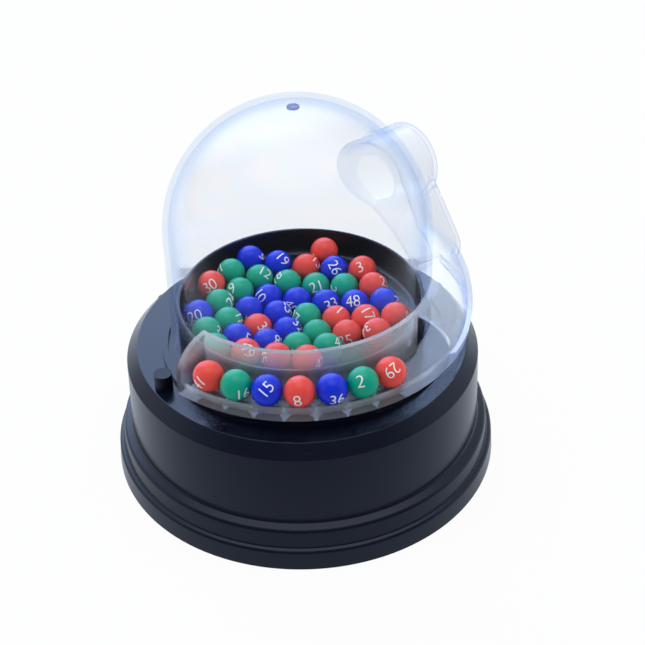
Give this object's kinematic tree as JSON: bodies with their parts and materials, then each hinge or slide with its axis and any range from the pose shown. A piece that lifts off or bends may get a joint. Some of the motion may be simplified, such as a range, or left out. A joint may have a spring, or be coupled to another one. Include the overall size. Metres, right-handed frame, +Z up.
{
  "type": "number ball draw machine",
  "caption": "Round stepped black base with a push button, a clear dome over a bowl of numbered balls, a covered side chute and an open front tray for drawn balls.",
  "frame": {"origin": "centre of the foot, on the plane it stands on", "axes": "+Z up along the dome's axis, -Y towards the front with the tray, +X to the right"},
  "size_m": [0.116, 0.116, 0.1149],
  "materials": {
    "black_satin": "satin moulded black",
    "black_gloss": "glossy black",
    "clear_plastic": "clear, glossy, faint blue at the edges",
    "ball_red": "glossy red",
    "ball_green": "glossy green",
    "ball_blue": "glossy blue",
    "white_plastic": "plain",
    "screw_steel": "plated",
    "motor_steel": "plated sheet",
    "brass": "plain",
    "cell_jacket": "plain wrapped can",
    "board": "plain laminate",
    "red_lead": "insulated wire",
    "black_lead": "insulated wire",
    "armature": "wound copper on a core"
  },
  "bodies": {
    "base": {"base_shell": "black_satin", "ball_bowl": "black_gloss", "bowl_screws": "screw_steel", "bottom_cover": "black_satin", "cover_screws": "screw_steel", "motor_can": "motor_steel", "motor_end_cap": "white_plastic", "motor_terminals": "brass", "motor_bushing": "brass", "motor_cradle": "white_plastic", "cradle_screws": "screw_steel", "battery_cells": "cell_jacket", "contact_plates": "motor_steel", "contact_springs": "motor_steel", "switch_body": "black_satin", "switch_terminals": "brass", "switch_board": "board", "board_screws": "screw_steel", "lead_battery_switch": "red_lead", "lead_switch_motor": "red_lead", "lead_battery_motor": "black_lead", "hinge_pin": "screw_steel", "red_balls": "ball_red", "green_balls": "ball_green", "blue_balls": "ball_blue"},
    "rotor": {"agitator": "black_satin", "motor_shaft": "screw_steel", "motor_armature": "armature"},
    "button": {"button_cap": "black_satin", "switch_plunger": "white_plastic"},
    "door": {"battery_door": "black_satin"},
    "clear_top": {"dome": "clear_plastic", "ball_tray": "clear_plastic", "ball_chute": "clear_plastic", "drawn_red_balls": "ball_red", "drawn_green_balls": "ball_green", "drawn_blue_balls": "ball_blue"}
  },
  "joints": [
    {"name": "rotor_spin", "type": "hinge", "parent": "base", "child": "rotor", "pos_m": [0, 0, 0.0385], "axis": [0, 0, 1], "continuous": true},
    {"name": "button_press", "type": "slide", "parent": "base", "child": "button", "axis": [0, 0, -1], "range_m": [0, 0.0015], "stiffness_N_per_m": 400, "springref_m": -0.001},
    {"name": "door_hinge", "type": "hinge", "parent": "base", "child": "door", "pos_m": [0.0305, 0.02625, 0.0026], "axis": [0, -1, 0], "range_deg": [0, 100]},
    {"name": "top_lift", "type": "slide", "parent": "base", "child": "clear_top", "axis": [0, 0, 1], "range_m": [0, 0.08]}
  ]
}
